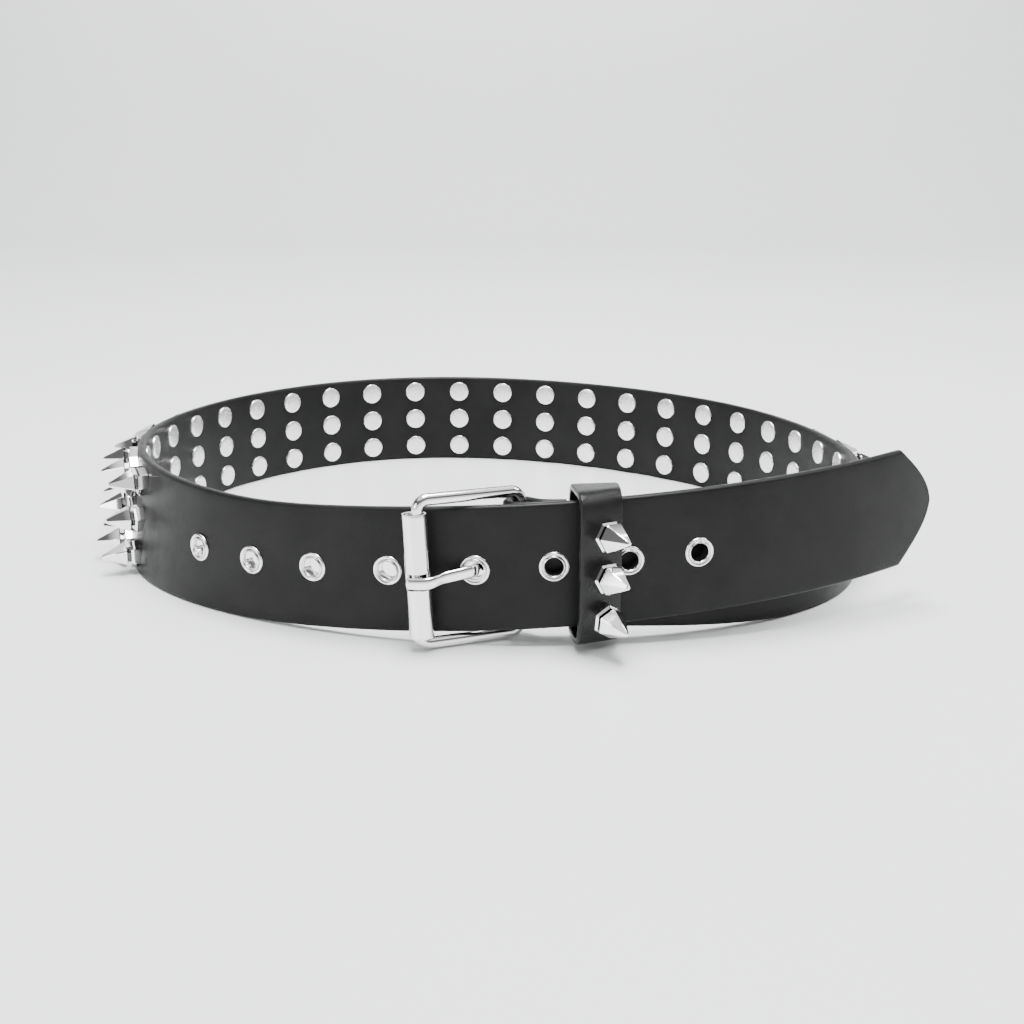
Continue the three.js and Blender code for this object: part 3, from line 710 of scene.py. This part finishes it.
# Rivet: a low dome on each side of the fold, joined by a shank
def makeRivets():
    arc = np.radians(np.linspace(90, 0, 7))
    front = faceOut + buckle["seatGap"] * 0.2
    back = -(faceOut + strap["thickness"] + 2 * buckle["seatGap"])
    domeRadius, domeRise = rivet["head"] * np.cos(arc), rivet["dome"] * np.sin(arc)
    radius = np.concatenate([domeRadius, [rivet["shank"]] * 2, domeRadius[::-1]])
    height = np.concatenate([front + domeRise, [front, back], back - domeRise[::-1]])
    profile = np.stack([radius, height, 0 * radius], -1)
    sides = 28
    shape = turnedPoints(profile, roundSection(sides))
    faces = gridFaces(len(profile), sides, closeColumns=True)
    across = np.array([-0.5, 0.5]) * rivet["step"]
    points = seatOnStrap(shape, np.full(2, buckleEndAt - rivet["back"]), np.zeros(2), across)
    makePiece("foldRivets", points, repeated(faces, len(shape), 2), eyeletNickel,
              ["fold_rivet_1", "fold_rivet_2"], sharpAngle=60)


makeRivets()

heelFrame = strapFrames(buckleEndAt)
heelPoint = heelFrame["middle"] - heelFrame["out"] * foldRadius
heelPoint[2] = frameMiddle
rollerFrame = strapFrames(buckle["rollerAt"])
rollerPoint = strapPoints(rollerFrame, np.float64(buckle["rollerStandOff"]), np.float64(0))
rollerPoint[2] = frameMiddle


# A rod: an oval section carried along a path, its half sizes given at each step
def rodPoints(middle, first, second, halfFirst, halfSecond, sides, squareness=2.0):
    angle = (np.arange(sides) + 0.5) * 2 * np.pi / sides
    rounded = lambda value: np.sign(value) * np.abs(value) ** (2 / squareness)
    a = rounded(np.cos(angle))[None, :, None] * np.asarray(halfFirst)[:, None, None]
    b = rounded(np.sin(angle))[None, :, None] * np.asarray(halfSecond)[:, None, None]
    return middle[:, None, :] + first[:, None, :] * a + second[:, None, :] * b


# Buckle frame: round wire carried round a rectangle whose corners are quarter circles
def makeBuckleFrame():
    reach = rollerPoint - heelPoint
    side = reach / np.linalg.norm(reach)
    face = np.cross(side, up)
    steps = 14
    angle = np.radians(90 * (np.arange(4)[:, None] + np.linspace(0, 1, steps)[None, :])).ravel()
    sideSign = np.repeat([1, -1, -1, 1], steps)
    highSign = np.repeat([1, 1, -1, -1], steps)
    radial = np.cos(angle)[:, None] * side + np.sin(angle)[:, None] * up
    corner = buckle["corner"]
    middle = ((heelPoint + rollerPoint) / 2
              + (sideSign * (np.linalg.norm(reach) / 2 - corner))[:, None] * side
              + (highSign * (frameHeight / 2 - corner))[:, None] * up
              + radial * corner)
    half, sides = np.full(len(angle), buckle["wire"] / 2), 32
    points = rodPoints(middle, radial, np.repeat(face[None], len(angle), 0), half, half, sides)
    makePiece("buckleWire", points, gridFaces(len(angle), sides, True, True), buckleNickel,
              ["buckle_frame"], sharpAngle=60)


# Roller: an oval sleeve of sheet, two skins deep, open at its ends and notched in front for the prong
def makeRoller():
    sides = 96
    angle = np.arange(sides) * 2 * np.pi / sides
    halfLength, drop = buckle["rollerLength"] / 2, buckle["rollerDrop"]
    notchTop = drop - buckle["prongDroop"] + buckle["notchHeight"] / 2
    notchFoot = notchTop - buckle["notchHeight"]
    lip = 0.22
    z = np.concatenate([np.linspace(-halfLength, notchFoot, 30),
                        np.linspace(notchFoot, notchTop, 7)[1:-1],
                        np.linspace(notchTop, halfLength, 30)])
    face = unit(np.cross(rollerFrame["along"], up))
    face = face * np.sign(face @ rollerFrame["out"])
    lean = np.radians(buckle["rollerLean"])
    axis = up * np.cos(lean) + unit(rollerFrame["along"] * (1, 1, 0)) * np.sin(lean)
    side = np.cross(axis, face)
    middle = rollerPoint - up * drop

    def skin(inset):
        shrink = np.where(np.abs(z) > halfLength - 0.01, lip * (0.5 - inset), 0)[:, None]
        width = buckle["rollerWidth"] / 2 - inset * buckle["rollerWall"] - shrink
        depth = buckle["rollerDepth"] / 2 - inset * buckle["rollerWall"] - shrink
        ring = side * (width * np.cos(angle))[..., None] + face * (depth * np.sin(angle))[..., None]
        return middle + ring + axis * z[:, None, None]

    points = np.concatenate([skin(0).reshape(-1, 3), skin(1).reshape(-1, 3)])
    middleAngle = angle + np.pi / sides
    middleZ = (z[1:] + z[:-1]) / 2
    inNotch = (middleZ > notchFoot) & (middleZ < notchTop)
    notch = inNotch[:, None] & (np.sin(middleAngle) > 0)[None, :]
    makePiece("rollerSleeve", points, shellFaces(~notch, closeColumns=True), buckleNickel,
              ["roller"], sharpAngle=50)


# Curve through knots: knot times grow with the square root of the distances, and each span is a cubic
# with matched slopes
def knotCurve(knots, share):
    ends = np.concatenate([[2 * knots[0] - knots[1]], knots, [2 * knots[-1] - knots[-2]]])
    gap = np.linalg.norm(np.diff(ends, axis=0), axis=1)[:, None] ** 0.5
    place = np.clip(share * (len(knots) - 1), 0, len(knots) - 1 - 1e-9)
    span = place.astype(int)
    t = (place - span)[:, None]
    p0, p1, p2, p3 = (ends[span + i] for i in range(4))
    d0, d1, d2 = (gap[span + i] for i in range(3))
    slope1 = ((p1 - p0) / d0 - (p2 - p0) / (d0 + d1) + (p2 - p1) / d1) * d1
    slope2 = ((p2 - p1) / d1 - (p3 - p1) / (d1 + d2) + (p3 - p2) / d2) * d1
    second = 3 * (p2 - p1) - 2 * slope1 - slope2
    third = 2 * (p1 - p2) + slope1 + slope2
    return p1 + slope1 * t + second * t**2 + third * t**3


# Prong: an eye round the heel bar, a cranked shank up through its eyelet, and a tip on the roller
def makeProng():
    hole = eyeletPlaces[eyelets["prongEyelet"]]
    eyeRadius = buckle["wire"] / 2 + buckle["seatGap"] + buckle["prongThickness"] / 2
    reach = buckle["rollerAt"] - buckle["heelAt"]
    holeReach = hole - buckle["heelAt"]
    tipOff = (buckle["rollerStandOff"] + buckle["wire"] / 2 + buckle["seatGap"]
              + buckle["prongThickness"] * buckle["prongTipShare"] / 2)
    wall = 0.5
    shank = np.array([
        (0.36 * holeReach, eyeRadius - heelDepth),
        (0.82 * holeReach, 1.05 * eyeRadius - heelDepth),
        (0.97 * holeReach, -faceOut - wall),
        (1.01 * holeReach, faceOut + wall),
        (1.24 * holeReach, 0.42 * tipOff),
        (1.6 * holeReach, 0.6 * tipOff),
        (reach - buckle["rollerWidth"] / 2, 0.97 * tipOff),
        (reach, tipOff),
        (reach + buckle["prongOverhang"], tipOff),
    ])  # along the strap from the heel bar, and out from the strap's middle
    shankFrames = strapFrames(buckle["heelAt"] + shank[:, 0])
    onStrap = strapPoints(shankFrames, shank[:, 1], np.zeros(len(shank)))
    # level to the eyelet, and from there down to the notch
    pastHole = (shank[:, 0] - holeReach) / (reach - holeReach)
    onStrap[:, 2] = frameMiddle - buckle["prongDroop"] * smoothStep(pastHole)
    angle = np.radians(np.linspace(-195, 80, 9))[:, None]
    eye = heelPoint - heelFrame["along"] * eyeRadius * np.cos(angle)
    eye = eye + heelFrame["out"] * eyeRadius * np.sin(angle)
    share = np.linspace(0, 1, 220)
    middle = knotCurve(np.concatenate([eye, onStrap]), share)
    tangent = unit(np.gradient(middle, axis=0))
    first = unit(np.cross(tangent, up))
    taper = blend(1, buckle["prongTipShare"], smoothStep((share - 0.6) / 0.4))
    run = np.concatenate([[0], np.cumsum(np.linalg.norm(np.diff(middle, axis=0), axis=1))])
    fromEnd = np.clip(np.minimum(run, run[-1] - run) / buckle["prongRounding"], 0, 1)
    taper = taper * np.sqrt(np.clip(1 - (1 - fromEnd) ** 2, 0, 1))
    sides = 28
    halfThick, halfWide = buckle["prongThickness"] / 2 * taper, buckle["prongWidth"] / 2 * taper
    upwards = np.repeat(up[None], len(share), 0)
    points = rodPoints(middle, first, upwards, halfThick, halfWide, sides, squareness=2.5)
    makePiece("buckleProng", points, gridFaces(len(share), sides, closeColumns=True), buckleNickel,
              ["prong"], sharpAngle=60)


makeBuckleFrame()
makeRoller()
makeProng()

keeperAt = buckle["heelAt"] - keeper["beforeHeel"]
keeperFrame = strapFrames(keeperAt)
keeperBackAt = buckleEndAt - keeper["beforeHeel"]
stackTop = riseAt(keeperAt - keeper["width"] / 2) + strap["width"]
stackFoot = riseAt(keeperBackAt - keeper["width"] / 2)
keeperHigh = stackTop + keeper["topGap"] - stackFoot + keeper["footGap"]
keeperDeep = keeper["standOff"] + strap["thickness"] + strap["layerStep"] + keeper["backGap"]
keeperHalfDeep = (keeperDeep + keeper["thickness"]) / 2
keeperHalfHigh = (keeperHigh + keeper["thickness"]) / 2


def turnedLevel(vector, angle):
    c, s = np.cos(angle), np.sin(angle)
    return np.stack([vector[0] * c - vector[1] * s, vector[0] * s + vector[1] * c, 0 * c], -1)


# Keeper's middle surface: a squared oval round both layers, its front wall turned a little to one side
def keeperPlaces(angle):
    front = np.where(np.sin(angle) > 0, keeper["topSquareness"], keeper["footSquareness"])
    squareness = np.where(np.cos(angle) < 0, keeper["backSquareness"], front)
    power = 2 / squareness
    off = keeperHalfDeep * np.sign(np.cos(angle)) * np.abs(np.cos(angle)) ** power
    high = keeperHalfHigh * np.sign(np.sin(angle)) * np.abs(np.sin(angle)) ** power
    yaw = np.radians(keeper["yaw"]) * smoothStep(0.5 + off / keeperHalfDeep / 2)
    level = unit(keeperFrame["along"] * (1, 1, 0))
    width, face = turnedLevel(level, yaw), turnedLevel(keeperFrame["out"], yaw)
    leanOff = np.abs(off / keeperHalfDeep) ** (squareness - 1) * np.sign(off) / keeperHalfDeep
    leanHigh = np.abs(high / keeperHalfHigh) ** (squareness - 1) * np.sign(high) / keeperHalfHigh
    normal = unit(face * leanOff[:, None] + up * leanHigh[:, None])
    middleOff = faceOut + keeper["standOff"] - keeperDeep / 2
    middle = keeperFrame["middle"] * (1, 1, 0) + keeperFrame["out"] * (middleOff + off)[:, None]
    middle = middle + up * (stackFoot - keeper["footGap"] + keeperHigh / 2 + high)[:, None]
    return middle, width, normal


# Keeper: a leather band with rounded edges carried round that oval
def makeKeeper():
    # angles crowd towards the flat walls, so that the steps along the band stay even
    even = np.linspace(0, 2 * np.pi, 4001)
    middle = keeperPlaces(even)[0]
    run = np.concatenate([[0], np.cumsum(np.linalg.norm(np.diff(middle, axis=0), axis=1))])
    angle = np.interp(np.linspace(0, run[-1], 241)[:-1], run, even)
    middle, width, normal = keeperPlaces(angle)
    halfWidth, halfThick = keeper["width"] / 2, keeper["thickness"] / 2
    rounding = keeper["edgeRound"]
    bend = np.radians(np.linspace(0, 90, 6))
    flat = np.linspace(-1, 1, 9)[1:-1] * (halfWidth - rounding)
    cornerAcross = halfWidth - rounding * (1 - np.sin(bend))
    cornerOff = halfThick - rounding * (1 - np.cos(bend))
    halfAcross = np.concatenate([flat, cornerAcross, cornerAcross[::-1]])
    sectionAcross = np.concatenate([halfAcross, -halfAcross])
    top = np.full(len(flat), halfThick)
    sectionOff = np.concatenate([top, cornerOff, -cornerOff[::-1], -top, -cornerOff, cornerOff[::-1]])
    points = (middle[:, None] + width[:, None] * sectionAcross[None, :, None]
              + normal[:, None] * sectionOff[None, :, None])
    faces = gridFaces(len(angle), len(sectionAcross), True, True)
    makePiece("keeperBand", points, faces, keeperLeather, ["keeper"], sharpAngle=50)


# Keeper spikes: two stand with a corner to each side, the lowest with a corner up
def makeKeeperSpikes():
    profile = spikeProfile(spike["rootInKeeper"])
    faces = gridFaces(len(profile), hexPoints, closeColumns=True)
    for row in range(studs["rows"]):
        high = (row - (studs["rows"] - 1) / 2) * keeper["spikeStep"] - keeper["spikeDrop"]
        squareness = keeper["topSquareness" if high > 0 else "footSquareness"]
        angle = np.arcsin(np.sign(high) * np.abs(high / keeperHalfHigh) ** (squareness / 2))
        middle, width, normal = (part[0] for part in keeperPlaces(np.array([angle])))
        edge = unit(np.cross(normal, width))
        shape = turnedPoints(profile, hexSection(turn=0 if row == 0 else 30))
        seat = keeper["thickness"] / 2 + keeper["spikeSeat"]
        foot = middle + normal * seat - width * keeper["spikeShift"]
        points = shape @ np.stack([width, edge, normal]) + foot
        number = studs["rows"] - row
        # paint carries the same painted shade in each spike's neck gap
        makePiece(f"keeperSpike{number}", points, faces, spikeNickel,
                  [f"keeper_spike_{number}"], sharpAngle=20, paint=np.repeat(profile[:, 3], hexPoints))


makeKeeper()
makeKeeperSpikes()

studio = {
    "floorTint": (0.83, 0.845, 0.845, 1),
    "floorRoughness": (0.34, 0.46),
    "floorHalf": 2.6,
    "wallAt": 1.5,
    "wallBend": 0.6,
    "wallTop": 0.9,
}


# Sweep: a level floor whose back edge bends up as a quarter circle into a wall
def makeSweep():
    bend = np.radians(np.linspace(0, 90, 25))[1:]
    wallAt, radius = studio["wallAt"], studio["wallBend"]
    level = np.concatenate([[-studio["floorHalf"]], np.linspace(-1, wallAt, 12)])
    y = np.concatenate([level, wallAt + radius * np.sin(bend), [wallAt + radius]])
    z = np.concatenate([0 * level, radius * (1 - np.cos(bend)), [studio["wallTop"]]])
    x = np.linspace(-1, 1, 3) * studio["floorHalf"]
    points = np.stack(np.broadcast_arrays(x[None, :], y[:, None], z[:, None]), -1)
    mesh = bpy.data.meshes.new("studioSweep")
    mesh.from_pydata(points.reshape(-1, 3).tolist(), [], gridFaces(len(y), 3)[:, ::-1].tolist())
    mesh.shade_smooth()
    material, tree, shader = newMaterial("paleFloor")
    shader.inputs["Base Color"].default_value = studio["floorTint"]
    polish = rangeNode(tree, noiseNode(tree, 3, 2).outputs["Fac"], *studio["floorRoughness"])
    tree.links.new(polish, shader.inputs["Roughness"])
    mesh.materials.append(material)
    sweep = bpy.data.objects.new("studioSweep", mesh)
    bpy.context.scene.collection.objects.link(sweep)


def addPanel(name, place, target, size, power):
    data = bpy.data.lights.new(name, "AREA")
    data.shape = "RECTANGLE"
    data.size, data.size_y = size
    data.energy = power
    panel = bpy.data.objects.new(name, data)
    bpy.context.scene.collection.objects.link(panel)
    aim = Vector(place) - Vector(target)
    panel.matrix_world = Matrix.Translation(place) @ aim.to_track_quat("Z", "Y").to_matrix().to_4x4()


# Sky of the studio by height: a pale horizon, a dark band above it and a bright top
skyRamp = ((0.0, 0.9), (0.26, 0.9), (0.34, 0.12), (0.7, 0.12), (0.8, 1.0), (1.0, 1.0))
skyStrength = 1.3


def makeLights():
    addPanel("overheadPanel", (0.05, 0.1, 1.5), (0, 0, 0), (0.7, 0.5), 42)
    addPanel("frontPanel", (0.05, -0.33, 1.35), (0.02, -0.1, 0), (0.5, 0.25), 18)
    addPanel("leftPanel", (-1.1, -0.9, 0.5), (0, 0, 0.02), (0.6, 0.6), 6)
    addPanel("rightPanel", (1.1, 0.0, 1.1), (0, 0, 0.02), (0.5, 0.5), 7)
    addPanel("wallPanel", (0, 0.9, 1.7), (0, 2.2, 0.7), (2.4, 0.5), 36)
    world = bpy.data.worlds.new("studioWorld")
    world.use_nodes = True
    bpy.context.scene.world = world
    tree = world.node_tree
    background = tree.nodes["Background"]
    place = addNode(tree, "ShaderNodeTexCoord")
    split = addNode(tree, "ShaderNodeSeparateXYZ")
    ramp = addNode(tree, "ShaderNodeValToRGB")
    elements = ramp.color_ramp.elements
    for index, (height, shade) in enumerate(skyRamp):
        stop = elements[index] if index < 2 else elements.new(height)
        stop.position = height
        stop.color = (shade, shade, shade, 1)
    tree.links.new(place.outputs["Generated"], split.inputs["Vector"])
    tree.links.new(split.outputs["Z"], ramp.inputs["Fac"])
    tree.links.new(ramp.outputs["Color"], background.inputs["Color"])
    background.inputs["Strength"].default_value = skyStrength


makeSweep()
makeLights()
print("studio set")
